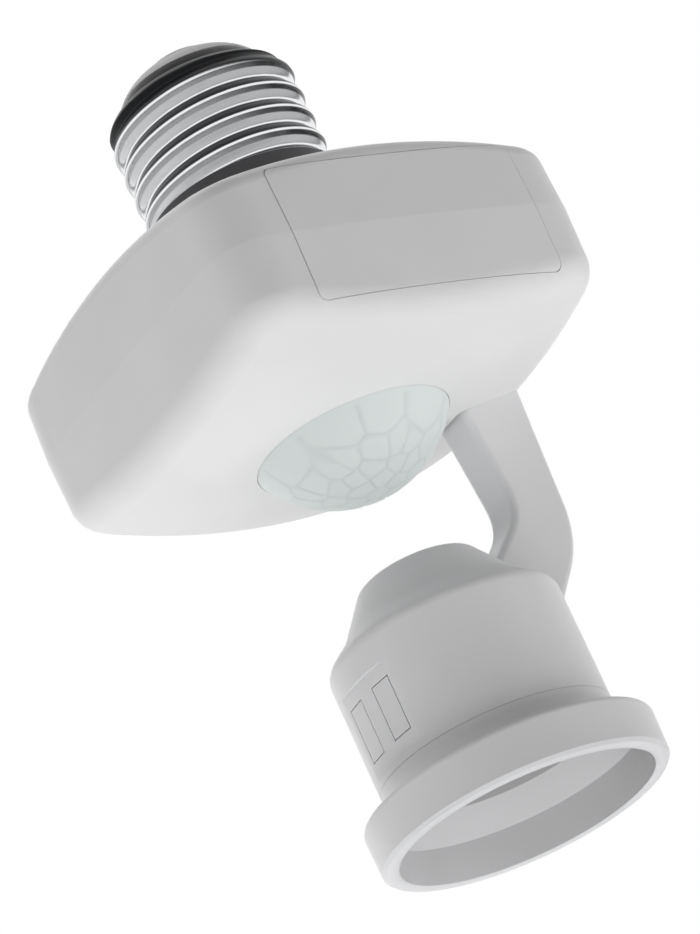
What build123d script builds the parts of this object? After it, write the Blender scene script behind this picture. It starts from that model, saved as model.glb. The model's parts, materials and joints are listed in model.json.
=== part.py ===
from build123d import *
import os
from math import cos, radians, sin, sqrt

os.makedirs("parts", exist_ok=True)

# A motion sensor that screws into an E27 lamp socket and holds the lamp below it.
# All lengths are millimetres. The origin is the centre of the lamp mouth, on its
# rim. +Z runs up the common axis of mouth, lens and screw cap, and +X points to the arm.

# Screw cap: a rolled E27 shell, a black glass insulator and the end contact
pitch = 3.6
thread_half_depth = 0.52
cap_crest_r = 13.2
shell_wall = 0.4
cap_bottom = 92.4
cap_round_start = 105.9
cap_round_mid = (12.6, 107.8)
cap_top = 109.1
cap_top_r = 10.9
glass_seat = 106.5
glass_round_mid = (9.75, 110.8)
glass_top = 112.8
glass_top_r = 7.2
glass_gap = 0.05
plug_taper = 1.0
contact_r = 5.1
contact_top = 114.3
contact_edge = 0.8
stem_r = 0.85

# Housing: a rounded square with bulging sides, widest at its crease
housing_half = 29.3
side_bulge = 1.2
corner_r = 7.0
crease_z = 71.1
wall_draft = 2.0
wall = 1.8
underside_r = 114.0
underside_z = 54.7
underside_edge_r = 4.2
roof_r = 116.0
roof_z = 86.4
roof_edge_r = 2.6
least_edge_r = 0.6
lap_height = 2.0
lap_wall = 0.9
lap_gap = 0.05

# Neck that carries the screw shell
neck_r = 13.0
neck_gap = 0.05
spigot_gap = 0.08
spigot_top = 104.0
spigot_wall = 1.8

# Bare name panel that lies over the crease on the front wall
panel_left = -18.7
panel_right = 20.0
panel_bottom = 61.3
panel_top = 80.6
panel_proud = 0.05
panel_depth = 0.45
panel_gap = 0.12
panel_corner = 1.2

# Lens: a dome cut into flat facets, held from inside by a ring
lens_r = 13.4
lens_drop = 8.0
lens_wall = 1.1
lens_flange = 0.8
lens_flange_h = 1.0
lens_gap = 0.08
lens_seat_z = 57.7
facet_rings = [(0.0, 1), (21.0, 6), (38.5, 12), (51.5, 18)]
facet_depth = 0.42
ring_h = 1.6
ring_wall = 1.5
seat_wall = 1.0

# Circuit board and what it carries
board_half = 22.0
board_t = 1.6
board_z = 67.2
board_corner = 4.0
post_r = 2.4
post_at = 17.5
screw_r = 0.85
screw_gap = 0.05
screw_head_r = 1.9
screw_head_h = 1.3
screw_head_edge = 0.4
screw_l = 6.0
slot_w = 0.6
slot_depth = 0.6
pir_r = 4.6
pir_h = 4.2
pir_flange_r = 5.1
pir_flange_h = 0.5
pir_window = (3.2, 2.6, 0.3)
relay_size = (15.0, 11.0, 10.5)
relay_at = (-9.0, -8.5)
film_size = (15.0, 5.5, 10.0)
film_at = (8.5, -13.5)
can_r = 3.9
can_h = 9.5
can_at = (-12.0, 9.0)
chip_size = (5.0, 4.0, 1.6)
chip_at = (8.0, -2.0)
bridge_size = (7.6, 5.4, 2.6)
bridge_at = (10.5, 14.0)
part_edge = 0.5
eye_r = 1.5
eye_h = 3.4
eye_dome = 1.2
eye_at = (-8.2, 0.0)
trimmer_half = 3.3
trimmer_h = 3.6
trimmer_floor = 1.4
trimmer_at = (-2.0, 12.6)
rotor_r = 2.4
rotor_h = 1.8
rotor_gap = 0.05

# Arm: a flat hollow bar from the housing to the back of the socket
arm_half = 3.15
arm_edge = 1.0
arm_top = 62.0
arm_out_top_x = 27.1
arm_out_corner = (25.35, 35.3)
arm_out_bend_r = 16.0
arm_out_end = (12.0, 19.2)
arm_in_top_x = 15.7
arm_in_corner = (17.7, 40.6)
arm_in_bend_r = 7.0
arm_in_end = (6.4, 30.2)
arm_wall = 1.45
arm_slot_gap = 0.08
foot_z = 60.2
foot_t = 1.8
foot_half = 8.4
foot_in_x = 18.6
foot_out_x = 25.4
foot_screw_y = 5.9
foot_screw_x = 22.0
foot_screw_l = 3.2
foot_boss_r = 2.2

# Socket casing
casing_r = 15.84
casing_wall = 1.24
casing_foot = 9.9
shoulder_z = 26.6
shoulder_edge = 2.0
waist = (12.4, 29.4)
waist_bend_r = 8.0
hub_r = 7.8
hub_top = 35.7
hub_edge = 2.0
window_angle = 11.6
window_w = 3.5
window_low = 12.9
window_high = 20.5
window_gap = 0.15
patch_depth = 0.4
patch_r = 25.4
patch_half = 9.0
patch_low = 10.8
patch_high = 22.4

# Collar: the mouth ring, its funnel and the sleeve that snaps into the casing
mouth_r = 17.5
mouth_depth = 5.0
rim_r = 19.65
rim_edge = 0.45
band_r = 19.8
band_top = 5.5
band_edge_mid = (19.6, 6.1)
band_edge_end = (19.0, 6.4)
flare_mid = (16.8, 7.4)
funnel_top = 8.4
sleeve_gap = 0.1
sleeve_in_r = 13.8
sleeve_top = 22.2

# Lamp thread shell, insulating base and contacts inside the casing
lamp_thread_r = 12.82
lamp_half_depth = 0.5
lamp_shell_wall = 0.35
lamp_shell_low = 12.7
shell_flange_in = 8.0
base_low = 24.6
base_side = 0.6
base_gap = 0.2
base_top = 27.2
base_top_r = 12.6
tongue_w = 4.6
tongue_t = 0.4
tongue_root_x = -7.0
tongue_root_h = 1.6
tongue_gap = 0.4
tongue_low = (0.6, 2.4)
tongue_tip = (3.0, 1.9)
tongue_bend = 0.8
root_slot_gap = 0.3
terminal_w = 4.0
terminal_l = 6.0
terminal_t = 0.8
rivet_x = 9.4
rivet_r = 0.8
rivet_head_r = 1.4
rivet_head_h = 0.6
rivet_edge = 0.2

# Wires
wire_r = 0.65
wire_y = 0.85
wire_gap = 0.1
live_end_x = -8.2
neutral_end_x = 6.6
live_supply_way = [(0.0, 0.0, 97.0), (1.6, 3.2, 88.0), (2.6, 6.4, 79.0)]
live_supply_bends = [7.0, 8.0, 8.0]
neutral_supply_way = [(5.2, 0.0, 105.2), (5.2, -1.5, 94.0), (8.0, 0.5, 84.0), (14.0, 4.5, 76.0)]
neutral_supply_bends = [4.0, 7.0, 7.0, 4.0]
neutral_supply_x = 11.0
arm_wire_way = [(21.5, 42.5), (18.6, 34.2)]
live_lamp_way = [(10.5, 30.4), (-1.0, 31.4)]
live_lamp_z = 30.6
live_lamp_bends = [12.0, 6.0, 6.0, 8.0, 1.2]
neutral_lamp_way = [(12.0, 30.2)]
neutral_lamp_z = 30.0
neutral_lamp_bends = [12.0, 6.0, 4.0, 1.2]

# Sizes that follow from the ones above
cap_mean_r = cap_crest_r - thread_half_depth
spigot_r = cap_mean_r - thread_half_depth - shell_wall - spigot_gap
neck_top = cap_bottom - neck_gap
lens_base_z = underside_z + underside_r - sqrt(underside_r**2 - lens_r**2)
lens_ball_r = (lens_r**2 + lens_drop**2) / (2 * lens_drop)
lens_ball_z = lens_base_z - lens_drop + lens_ball_r
lens_flange_r = lens_r + lens_flange
ring_top = lens_seat_z + lens_flange_h + ring_h
board_top = board_z + board_t
foot_top = foot_z + foot_t
casing_in_r = casing_r - casing_wall
sleeve_r = casing_in_r - sleeve_gap
base_r = casing_in_r - base_gap
terminal_top = base_top + terminal_t
tongue_z = base_low - tongue_gap


def housing_plan(half, mode):
    """Adds the rounded square with bulging sides to the sketch being built, or cuts it."""
    corner = half - side_bulge
    with BuildSketch(mode=Mode.PRIVATE) as plan:
        with BuildLine():
            ThreePointArc((-corner, -corner), (0, -half), (corner, -corner))
            ThreePointArc((corner, -corner), (half, 0), (corner, corner))
            ThreePointArc((corner, corner), (0, half), (-corner, corner))
            ThreePointArc((-corner, corner), (-half, 0), (-corner, -corner))
        make_face()
        fillet(plan.vertices(), corner_r)
    add(plan.sketch, mode=mode)


def rim_edges(edges, side):
    """Edges where the roof (side 1) or the underside (side -1) meets the walls."""
    def is_rim(edge):
        start, end = edge.position_at(0), edge.position_at(1)
        away = min(abs(Vector(p.X, p.Y)) for p in (start, end)) > neck_r
        return away and abs(start.Z - end.Z) < wall * 2 and (edge.center().Z - crease_z) * side > wall
    return edges.filter_by(is_rim)


def housing_form(inset):
    """The closed form of the housing, with every face pulled in by inset."""
    with BuildPart() as form:
        with BuildSketch(Plane.XY.offset(crease_z)):
            housing_plan(housing_half - inset, Mode.ADD)
        extrude(amount=roof_z - crease_z, taper=wall_draft)
        with BuildSketch(Plane.XY.offset(crease_z)):
            housing_plan(housing_half - inset, Mode.ADD)
        extrude(amount=underside_z - crease_z, taper=wall_draft)
        with Locations((0, 0, roof_z - roof_r)):
            Sphere(roof_r - inset, mode=Mode.INTERSECT)
        with Locations((0, 0, underside_z + underside_r)):
            Sphere(underside_r - inset, mode=Mode.INTERSECT)
        fillet(rim_edges(form.edges(), 1), max(roof_edge_r - inset, least_edge_r))
        fillet(rim_edges(form.edges(), -1), max(underside_edge_r - inset, least_edge_r))
    return form.part


def panel_prism(gap):
    """A block through the front wall with the panel's outline grown by gap."""
    with BuildPart() as prism:
        with BuildSketch(Plane.XZ.offset(housing_half / 2)):
            with Locations(((panel_left + panel_right) / 2, (panel_bottom + panel_top) / 2)):
                RectangleRounded(
                    panel_right - panel_left + 2 * gap,
                    panel_top - panel_bottom + 2 * gap,
                    panel_corner + gap,
                )
        extrude(amount=housing_half)
    return prism.part


def thread_form(mean_r, half_depth, low, high):
    """A round bar whose side is a single-start knuckle thread: a circle carried up a helix."""
    turns = (high - low) / pitch
    with BuildPart() as form:
        with BuildLine(Plane.XY.offset(low)):
            path = Helix(pitch, turns * pitch, half_depth)
        with BuildSketch(Plane.XY.offset(low)):
            with Locations((half_depth, 0)):
                Circle(mean_r)
        sweep(path=path, normal=(0, 0, 1))
    return form.part


def wire(points, radii):
    """A round wire along straight runs joined by tangent arcs."""
    with BuildPart() as tube:
        with BuildLine() as route:
            FilletPolyline(*points, radius=radii)
        with BuildSketch(Plane(route.line @ 0, z_dir=route.line % 0)):
            Circle(wire_r)
        sweep(path=route.line)
    return tube.part


def screw(length, head_z, places):
    """Slotted pan head screws that stand head up at the given places."""
    with BuildPart() as group:
        with BuildSketch(Plane.XY.offset(head_z)):
            with Locations(*places):
                Circle(screw_head_r)
        extrude(amount=screw_head_h)
        fillet(group.edges().group_by(Axis.Z)[-1], screw_head_edge)
        with BuildSketch(Plane.XY.offset(head_z + screw_head_h)):
            with Locations(*places):
                Rectangle(2 * screw_head_r, slot_w)
        extrude(amount=-slot_depth, mode=Mode.SUBTRACT)
        with BuildSketch(Plane.XY.offset(head_z)):
            with Locations(*places):
                Circle(screw_r)
        extrude(amount=-length)
    return group.part


def block(size, place, base_z):
    """A moulded component standing on the board."""
    with BuildPart() as body:
        with BuildSketch(Plane.XY.offset(base_z)):
            with Locations(place):
                Rectangle(size[0], size[1])
        extrude(amount=size[2])
        fillet(body.edges().filter_by(Axis.Z) + body.faces().sort_by(Axis.Z)[-1].edges(), part_edge)
    return body.part


def save(part, name):
    """Labels a finished piece and writes its file."""
    part.label = name
    export_step(part, f"parts/{name}.step")


outer_form = housing_form(0)
inner_form = housing_form(wall)
post_places = [(x, y) for x in (-post_at, post_at) for y in (-post_at, post_at)]
foot_places = [(foot_screw_x, y) for y in (-foot_screw_y, foot_screw_y)]

def shell_envelope(inset, low):
    """Trims the thread to its length and rounds its top over; inset gives the inner side."""
    with BuildPart() as envelope:
        with BuildSketch(Plane.XZ):
            with BuildLine():
                round_r = cap_crest_r - inset
                clear_r = cap_crest_r + wall
                ThreePointArc(
                    (cap_top_r - inset, cap_top),
                    (cap_round_mid[0] - inset, cap_round_mid[1] - inset / 2),
                    (round_r, cap_round_start),
                )
                Polyline((round_r, cap_round_start), (clear_r, cap_round_start), (clear_r, low))
                Polyline((clear_r, low), (0, low), (0, cap_top), (cap_top_r - inset, cap_top))
            make_face()
        revolve(axis=Axis.Z)
    return envelope.part


cap_thread = thread_form(cap_mean_r, thread_half_depth, cap_bottom - pitch, cap_top + pitch)
cap_bore = thread_form(cap_mean_r - shell_wall, thread_half_depth, cap_bottom - pitch, cap_top + pitch)
cap_outside = shell_envelope(0, cap_bottom)
cap_inside = cap_bore & shell_envelope(shell_wall, cap_bottom - pitch / 2)
with BuildPart() as screw_shell:
    add(cap_thread)
    add(cap_outside, mode=Mode.INTERSECT)
    add(cap_inside, mode=Mode.SUBTRACT)
save(screw_shell.part, "screw_shell")

with BuildPart() as cap_insulator:
    plug_r = cap_top_r - shell_wall - glass_gap
    with BuildSketch(Plane.XZ):
        with BuildLine():
            Polyline(
                (stem_r + glass_gap, glass_top),
                (stem_r + glass_gap, glass_seat),
                (plug_r - plug_taper, glass_seat),
                (plug_r, cap_top - plug_taper),
                (plug_r, cap_top),
                (cap_top_r, cap_top),
            )
            ThreePointArc((cap_top_r, cap_top), glass_round_mid, (glass_top_r, glass_top))
            Line((glass_top_r, glass_top), (stem_r + glass_gap, glass_top))
        make_face()
    revolve(axis=Axis.Z)
save(cap_insulator.part, "cap_insulator")

with BuildPart() as cap_contact:
    with BuildSketch(Plane.XY.offset(glass_top)):
        Circle(contact_r)
    extrude(amount=contact_top - glass_top)
    fillet(cap_contact.edges().group_by(Axis.Z)[-1], contact_edge)
    with BuildSketch(Plane.XY.offset(glass_seat)):
        Circle(stem_r)
    extrude(amount=glass_top - glass_seat)
save(cap_contact.part, "cap_contact")

# Bare panel: a thin plate that follows the front wall
panel_face = housing_form(-panel_proud)
panel_back = housing_form(panel_depth)
panel_block = panel_prism(0)
with BuildPart() as front_panel:
    add(panel_face)
    add(panel_block, mode=Mode.INTERSECT)
    add(panel_back, mode=Mode.SUBTRACT)
save(front_panel.part, "front_panel")

# Pocket that takes the panel in both shells
pocket_back = housing_form(panel_depth + panel_gap)
pocket_block = panel_prism(panel_gap)
with BuildPart() as panel_pocket:
    add(pocket_block)
    add(pocket_back, mode=Mode.SUBTRACT)

# Upper shell: roof, upper walls, the lap that enters the lower shell, neck and spigot
with BuildPart() as upper_shell:
    add(outer_form)
    split(bisect_by=Plane.XY.offset(crease_z), keep=Keep.TOP)
    with BuildSketch(Plane.XY.offset(roof_z - 2 * wall)):
        Circle(neck_r)
    extrude(amount=neck_top - roof_z + 2 * wall)
    with BuildSketch(Plane.XY.offset(neck_top)):
        Circle(spigot_r)
    extrude(amount=spigot_top - neck_top)
    add(inner_form, mode=Mode.SUBTRACT)
    with BuildSketch(Plane.XY.offset(roof_z - 4 * wall)):
        Circle(spigot_r - spigot_wall)
    extrude(amount=spigot_top - roof_z + 4 * wall, mode=Mode.SUBTRACT)
    add(panel_pocket.part, mode=Mode.SUBTRACT)
    with BuildSketch(Plane.XY.offset(crease_z)):
        housing_plan(housing_half - lap_wall - lap_gap, Mode.ADD)
        housing_plan(housing_half - wall, Mode.SUBTRACT)
    extrude(amount=lap_gap - lap_height)
save(upper_shell.part, "upper_shell")

# Lower shell: lower walls and underside, lens seat, board posts and arm seat
with BuildPart() as lower_shell:
    add(outer_form)
    split(bisect_by=Plane.XY.offset(crease_z), keep=Keep.BOTTOM)
    add(inner_form, mode=Mode.SUBTRACT)
    with BuildSketch(Plane.XY.offset(crease_z - lap_height)):
        housing_plan(housing_half - lap_wall, Mode.ADD)
    extrude(amount=2 * lap_height, mode=Mode.SUBTRACT)
    add(panel_pocket.part, mode=Mode.SUBTRACT)
    with BuildSketch(Plane.XY.offset(lens_base_z + wall / 2)):
        Circle(lens_flange_r + lens_gap + seat_wall)
    extrude(amount=ring_top - lens_base_z - wall / 2)
    with BuildSketch(Plane.XY.offset(underside_z + wall + 1)):
        with Locations(*post_places):
            Circle(post_r)
        with Locations(*foot_places):
            Circle(foot_boss_r)
    extrude(amount=foot_z - underside_z - wall - 1)
    with BuildSketch(Plane.XY.offset(foot_z)):
        with Locations(*post_places):
            Circle(post_r)
    extrude(amount=board_z - foot_z)
    add(outer_form, mode=Mode.INTERSECT)
    with BuildSketch(Plane.XY.offset(lens_seat_z)):
        Circle(lens_flange_r + lens_gap)
    extrude(amount=ring_h + lens_flange_h, mode=Mode.SUBTRACT)
    with BuildSketch(Plane.XY.offset(underside_z)):
        Circle(lens_r + lens_gap)
    extrude(amount=lens_seat_z - underside_z, mode=Mode.SUBTRACT)
    with BuildSketch(Plane.XY.offset(underside_z)):
        with Locations(((arm_in_top_x + arm_out_top_x) / 2, 0)):
            RectangleRounded(
                arm_out_top_x - arm_in_top_x + 2 * arm_slot_gap,
                2 * (arm_half + arm_slot_gap),
                arm_edge + arm_slot_gap,
            )
    extrude(amount=arm_top - underside_z, mode=Mode.SUBTRACT)
    with BuildSketch(Plane.XY.offset(board_z)):
        with Locations(*post_places):
            Circle(screw_r + screw_gap)
    extrude(amount=board_t - screw_l - screw_gap, mode=Mode.SUBTRACT)
    with BuildSketch(Plane.XY.offset(foot_z)):
        with Locations(*foot_places):
            Circle(screw_r + screw_gap)
    extrude(amount=foot_t - foot_screw_l - screw_gap, mode=Mode.SUBTRACT)
save(lower_shell.part, "lower_shell")

# Lens: a hollow dome whose outside is cut flat, facet by facet
def facet_planes():
    """One plane for each facet, facing out of the dome."""
    planes = []
    for tilt, count in facet_rings:
        for step in range(count):
            turn = radians(360 / count * (step + 0.5))
            side = sin(radians(tilt))
            away = Vector(side * cos(turn), side * sin(turn), -cos(radians(tilt)))
            planes.append(Plane(Vector(0, 0, lens_ball_z) + away * (lens_ball_r - facet_depth), z_dir=away))
    return planes


with BuildPart() as lens:
    with Locations((0, 0, lens_ball_z)):
        Sphere(lens_ball_r)
    split(bisect_by=Plane.XY.offset(lens_base_z), keep=Keep.BOTTOM)
    for facet in facet_planes():
        split(bisect_by=facet, keep=Keep.BOTTOM)
    with BuildSketch(Plane.XY.offset(lens_base_z)):
        Circle(lens_r)
    extrude(amount=lens_seat_z - lens_base_z)
    with BuildSketch(Plane.XY.offset(lens_seat_z)):
        Circle(lens_flange_r)
    extrude(amount=lens_flange_h)
    with Locations((0, 0, lens_ball_z)):
        Sphere(lens_ball_r - lens_wall, mode=Mode.SUBTRACT)
save(lens.part, "lens")

with BuildPart() as lens_ring:
    with BuildSketch(Plane.XY.offset(lens_seat_z + lens_flange_h)):
        Circle(lens_flange_r)
        Circle(lens_flange_r - ring_wall, mode=Mode.SUBTRACT)
    extrude(amount=ring_h)
save(lens_ring.part, "lens_ring")

# Circuit board on its posts
with BuildPart() as circuit_board:
    with BuildSketch(Plane.XY.offset(board_z)):
        RectangleRounded(2 * board_half, 2 * board_half, board_corner)
        with Locations(*post_places):
            Circle(screw_r + screw_gap, mode=Mode.SUBTRACT)
    extrude(amount=board_t)
save(circuit_board.part, "circuit_board")

save(screw(screw_l, board_top, post_places), "board_screws")
save(screw(foot_screw_l, foot_top, foot_places), "arm_screws")

# Motion sensor can under the board, over the lens
with BuildPart() as motion_sensor:
    with BuildSketch(Plane.XY.offset(board_z)):
        Circle(pir_flange_r)
    extrude(amount=-pir_flange_h)
    with BuildSketch(Plane.XY.offset(board_z - pir_flange_h)):
        Circle(pir_r)
    extrude(amount=pir_flange_h - pir_h)
    fillet(motion_sensor.edges().group_by(Axis.Z)[0], part_edge)
    with BuildSketch(Plane.XY.offset(board_z - pir_h)):
        Rectangle(pir_window[0], pir_window[1])
    extrude(amount=pir_window[2], mode=Mode.SUBTRACT)
save(motion_sensor.part, "motion_sensor")

with BuildPart() as light_sensor:
    with BuildSketch(Plane.XY.offset(board_z)):
        with Locations(eye_at):
            Circle(eye_r)
    extrude(amount=-eye_h)
    fillet(light_sensor.edges().group_by(Axis.Z)[0], eye_dome)
save(light_sensor.part, "light_sensor")

save(block(relay_size, relay_at, board_top), "relay")
save(block(film_size, film_at, board_top), "film_capacitor")
save(block(chip_size, chip_at, board_top), "control_chip")
save(block(bridge_size, bridge_at, board_top), "rectifier")

with BuildPart() as electrolytic_capacitor:
    with BuildSketch(Plane.XY.offset(board_top)):
        with Locations(can_at):
            Circle(can_r)
    extrude(amount=can_h)
    fillet(electrolytic_capacitor.edges().group_by(Axis.Z)[-1], part_edge)
save(electrolytic_capacitor.part, "electrolytic_capacitor")

# Time trimmer: a cup and the slotted rotor that turns in it
with BuildPart() as trimmer_body:
    with BuildSketch(Plane.XY.offset(board_top)):
        with Locations(trimmer_at):
            Rectangle(2 * trimmer_half, 2 * trimmer_half)
    extrude(amount=trimmer_h)
    with BuildSketch(Plane.XY.offset(board_top + trimmer_floor)):
        with Locations(trimmer_at):
            Circle(rotor_r + rotor_gap)
    extrude(amount=trimmer_h, mode=Mode.SUBTRACT)
save(trimmer_body.part, "trimmer_body")

with BuildPart() as trimmer_rotor:
    rotor_low = board_top + trimmer_floor + rotor_gap
    with BuildSketch(Plane.XY.offset(rotor_low)):
        with Locations(trimmer_at):
            Circle(rotor_r)
    extrude(amount=rotor_h)
    with BuildSketch(Plane.XY.offset(rotor_low + rotor_h)):
        with Locations(trimmer_at):
            Rectangle(2 * rotor_r, slot_w)
    extrude(amount=-slot_depth, mode=Mode.SUBTRACT)
save(trimmer_rotor.part, "trimmer_rotor")


# Socket casing: cylinder, shoulder and hub, with the hollow arm moulded on
def arm_outline(inset, top):
    """Adds the arm's side outline, pulled in by inset and carried up to top."""
    with BuildSketch(mode=Mode.PRIVATE) as outline:
        with BuildLine():
            Polyline((arm_out_top_x, top), arm_out_corner, arm_out_end, arm_in_end, arm_in_corner,
                     (arm_in_top_x, top), (arm_out_top_x, top))
        make_face()
        fillet(outline.vertices().sort_by_distance(arm_out_corner)[0], arm_out_bend_r)
        fillet(outline.vertices().sort_by_distance(arm_in_corner)[0], arm_in_bend_r)
        if inset:
            offset(amount=-inset)
    add(outline.sketch)


def pulled_in(points, inset):
    """The inner corners of a run of lines that moves to its left by inset and stays parallel."""
    moved = []
    for before, corner, after in zip(points, points[1:], points[2:]):
        first = (corner - before).normalized()
        second = (after - corner).normalized()
        across = Vector(-first.Y - second.Y, first.X + second.X)
        moved.append(corner + across * (inset / (1 + first.dot(second))))
    return moved


def casing_profile(inset):
    """Adds half of the casing's section, pulled in by inset."""
    run = [(casing_r, casing_foot), (casing_r, shoulder_z), waist, (hub_r, hub_top), (0, hub_top)]
    corners = pulled_in([Vector(*point) for point in run], inset)
    foot, top = (casing_r - inset, casing_foot), (0, hub_top - inset)
    bends = [shoulder_edge - inset, waist_bend_r + inset, hub_edge - inset]
    with BuildSketch(mode=Mode.PRIVATE) as profile:
        with BuildLine():
            FilletPolyline(foot, *corners, top, radius=bends)
            Polyline(top, (0, casing_foot), foot)
        make_face()
    add(profile.sketch)


def arm_long_edges(edges):
    """The four long edges of the arm that show outside the casing."""
    def shows(edge):
        start, end = edge.position_at(0), edge.position_at(1)
        lies_along = abs(start.Y - end.Y) < arm_slot_gap and abs(start.Z - end.Z) > arm_edge
        return lies_along and max(start.X, end.X) > casing_r
    return edges.filter_by(shows)


with BuildPart() as arm_bar:
    with BuildSketch(Plane.XZ):
        arm_outline(0, arm_top)
    extrude(amount=arm_half, both=True)
    fillet(arm_long_edges(arm_bar.edges()), arm_edge)

# Shallow patch and snap windows in the casing's wall
with BuildPart() as casing_patch:
    with BuildSketch(Plane.XY.offset(patch_low)):
        with Locations((-casing_r, 0)):
            Rectangle(casing_r, 2 * patch_half)
        with Locations((patch_r + patch_depth - casing_r, 0)):
            Circle(patch_r, mode=Mode.SUBTRACT)
    extrude(amount=patch_high - patch_low)


def window_blocks(gap):
    """Blocks for the snap windows, two on each side of the casing, shrunk by gap."""
    with BuildPart() as blocks:
        with BuildSketch(Plane.XY.offset(window_low + gap)):
            for angle in (-window_angle, window_angle, 180 - window_angle, 180 + window_angle):
                with Locations(Rot(0, 0, angle) * Pos(casing_r, 0, 0)):
                    Rectangle(3 * casing_wall, window_w - 2 * gap)
        extrude(amount=window_high - window_low - 2 * gap)
    return blocks.part


windows = window_blocks(0)
tab_blocks = window_blocks(window_gap)
with BuildPart() as socket_casing:
    with BuildSketch(Plane.XZ):
        casing_profile(0)
    revolve(axis=Axis.Z)
    add(arm_bar.part)
    with BuildSketch(Plane.XY.offset(foot_z)):
        with Locations(((foot_in_x + foot_out_x) / 2, 0)):
            Rectangle(foot_out_x - foot_in_x, 2 * foot_half)
        with Locations(*foot_places):
            Circle(screw_r + screw_gap, mode=Mode.SUBTRACT)
    extrude(amount=foot_t)
    with BuildSketch(Plane.XZ):
        casing_profile(casing_wall)
    revolve(axis=Axis.Z, mode=Mode.SUBTRACT)
    with BuildSketch(Plane.XZ):
        arm_outline(arm_wall, arm_top + 2 * arm_wall)
    extrude(amount=arm_half - arm_wall, both=True, mode=Mode.SUBTRACT)
    add(casing_patch.part, mode=Mode.SUBTRACT)
    add(windows, mode=Mode.SUBTRACT)
save(socket_casing.part, "socket_casing")

# Collar: mouth ring, flange, funnel, sleeve and the tabs that fill the casing's windows
with BuildPart() as tabs:
    with BuildSketch(Plane.XY.offset(window_low)):
        Circle(casing_r)
        Circle(sleeve_r - sleeve_gap, mode=Mode.SUBTRACT)
    extrude(amount=window_high - window_low)
    add(tab_blocks, mode=Mode.INTERSECT)
    add(casing_patch.part, mode=Mode.SUBTRACT)

with BuildPart() as socket_collar:
    with BuildSketch(Plane.XZ):
        with BuildLine():
            collar_top = casing_foot - sleeve_gap / 2
            Polyline((mouth_r, 0), (rim_r - rim_edge, 0), (rim_r, rim_edge), (band_r, band_top))
            ThreePointArc((band_r, band_top), band_edge_mid, band_edge_end)
            ThreePointArc(band_edge_end, flare_mid, (casing_r, collar_top))
            Polyline(
                (casing_r, collar_top),
                (sleeve_r, collar_top),
                (sleeve_r, sleeve_top),
                (sleeve_in_r, sleeve_top),
                (sleeve_in_r, funnel_top),
                (mouth_r, mouth_depth),
                (mouth_r, 0),
            )
        make_face()
    revolve(axis=Axis.Z)
    add(tabs.part)
save(socket_collar.part, "socket_collar")

# Lamp thread shell with the flange that is riveted to the base
thread_low, thread_high = lamp_shell_low - pitch, base_low + pitch
lamp_outside = thread_form(lamp_thread_r + lamp_shell_wall, lamp_half_depth, thread_low, thread_high)
lamp_inside = thread_form(lamp_thread_r, lamp_half_depth, thread_low, thread_high)
with BuildPart() as lamp_bore:
    add(lamp_inside)
    with BuildSketch(Plane.XY.offset(lamp_shell_low - pitch / 2)):
        Circle(casing_r)
    extrude(amount=base_low - lamp_shell_wall - lamp_shell_low + pitch / 2, mode=Mode.INTERSECT)
with BuildPart() as lamp_thread_shell:
    add(lamp_outside)
    with BuildSketch(Plane.XY.offset(lamp_shell_low)):
        Circle(casing_r)
    extrude(amount=base_low - lamp_shell_low, mode=Mode.INTERSECT)
    add(lamp_bore.part, mode=Mode.SUBTRACT)
    with BuildSketch(Plane.XY.offset(base_low)):
        Circle(shell_flange_in)
        with Locations((rivet_x, 0)):
            Circle(rivet_r)
    extrude(amount=-2 * lamp_shell_wall, mode=Mode.SUBTRACT)
save(lamp_thread_shell.part, "lamp_thread_shell")

with BuildPart() as socket_base:
    with BuildSketch(Plane.XZ):
        with BuildLine():
            Polyline(
                (0, base_low), (base_r, base_low), (base_r, base_low + base_side),
                (base_top_r, base_top), (0, base_top), (0, base_low),
            )
        make_face()
    revolve(axis=Axis.Z)
    with BuildSketch(Plane.XY.offset(base_low)):
        with Locations((tongue_root_x, 0)):
            Rectangle(tongue_t + 2 * root_slot_gap, tongue_w + 2 * root_slot_gap)
        with Locations((rivet_x, 0)):
            Circle(rivet_r)
    extrude(amount=base_top - base_low, mode=Mode.SUBTRACT)
save(socket_base.part, "socket_base")

with BuildPart() as contact_tongue:
    with BuildSketch(Plane.XZ):
        with BuildLine() as tongue_line:
            FilletPolyline(
                (tongue_root_x, tongue_z + tongue_root_h),
                (tongue_root_x, tongue_z),
                (tongue_low[0], base_low - tongue_low[1]),
                (tongue_tip[0], base_low - tongue_tip[1]),
                radius=tongue_bend,
            )
        trace(line_width=tongue_t)
    extrude(amount=tongue_w / 2, both=True)
save(contact_tongue.part, "contact_tongue")

with BuildPart() as centre_terminal:
    with BuildSketch(Plane.XY.offset(base_top)):
        with Locations((tongue_root_x, 0)):
            Rectangle(terminal_l, terminal_w)
    extrude(amount=terminal_t)
save(centre_terminal.part, "centre_terminal")

with BuildPart() as shell_terminal:
    with BuildSketch(Plane.XY.offset(base_top)):
        with Locations((rivet_x - rivet_head_r, 0)):
            Rectangle(terminal_w + rivet_head_r, terminal_w)
        with Locations((rivet_x, 0)):
            Circle(rivet_r, mode=Mode.SUBTRACT)
    extrude(amount=terminal_t)
save(shell_terminal.part, "shell_terminal")

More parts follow.
